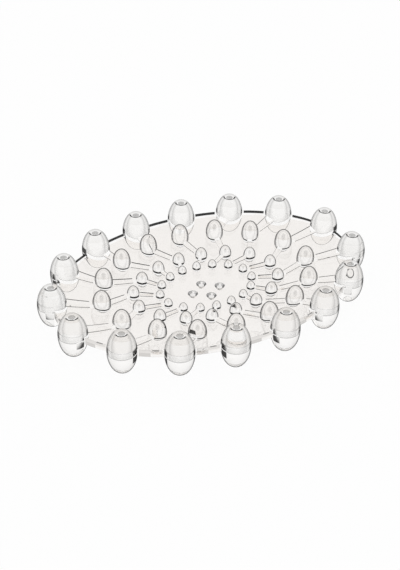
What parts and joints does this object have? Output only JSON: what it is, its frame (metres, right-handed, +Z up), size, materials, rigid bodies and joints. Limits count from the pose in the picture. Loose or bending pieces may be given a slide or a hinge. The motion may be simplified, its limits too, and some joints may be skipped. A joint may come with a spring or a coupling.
{
  "type": "soap dish",
  "caption": "Clear shallow oval soap dish: egg-shaped drops stand through its rim as feet, and low ribs with smaller drops run in towards the centre.",
  "frame": {"origin": "centre of the dish on the surface that its feet stand on", "axes": "+Z up, +X along the dish's long axis, +Y along its short axis"},
  "size_m": [0.1406, 0.1022, 0.0182],
  "materials": {
    "clear_plate": "clear, polished, faint warm grey",
    "clear_drops": "clear, polished",
    "clear_feet": "clear, polished",
    "clear_rays": "clear, polished"
  },
  "bodies": {
    "root": {"dish_plate": "clear_plate", "rim_drop_upper_01": "clear_drops", "rim_drop_upper_02": "clear_drops", "rim_drop_upper_03": "clear_drops", "rim_drop_upper_04": "clear_drops", "rim_drop_upper_05": "clear_drops", "rim_drop_upper_06": "clear_drops", "rim_drop_upper_07": "clear_drops", "rim_drop_upper_08": "clear_drops", "rim_drop_upper_09": "clear_drops", "rim_drop_upper_10": "clear_drops", "rim_drop_upper_11": "clear_drops", "rim_drop_upper_12": "clear_drops", "rim_drop_upper_13": "clear_drops", "rim_drop_upper_14": "clear_drops", "rim_drop_upper_15": "clear_drops", "rim_drop_upper_16": "clear_drops", "rim_drop_lower_01": "clear_feet", "rim_drop_lower_02": "clear_feet", "rim_drop_lower_03": "clear_feet", "rim_drop_lower_04": "clear_feet", "rim_drop_lower_05": "clear_feet", "rim_drop_lower_06": "clear_feet", "rim_drop_lower_07": "clear_feet", "rim_drop_lower_08": "clear_feet", "rim_drop_lower_09": "clear_feet", "rim_drop_lower_10": "clear_feet", "rim_drop_lower_11": "clear_feet", "rim_drop_lower_12": "clear_feet", "rim_drop_lower_13": "clear_feet", "rim_drop_lower_14": "clear_feet", "rim_drop_lower_15": "clear_feet", "rim_drop_lower_16": "clear_feet", "drop_ray_01": "clear_rays", "drop_ray_02": "clear_rays", "drop_ray_03": "clear_rays", "drop_ray_04": "clear_rays", "drop_ray_05": "clear_rays", "drop_ray_06": "clear_rays", "drop_ray_07": "clear_rays", "drop_ray_08": "clear_rays", "drop_ray_09": "clear_rays", "drop_ray_10": "clear_rays", "drop_ray_11": "clear_rays", "drop_ray_12": "clear_rays", "drop_ray_13": "clear_rays", "drop_ray_14": "clear_rays", "drop_ray_15": "clear_rays", "drop_ray_16": "clear_rays", "centre_stud_1": "clear_plate", "centre_stud_2": "clear_plate", "centre_stud_3": "clear_plate", "centre_stud_4": "clear_plate"}
  },
  "joints": []
}
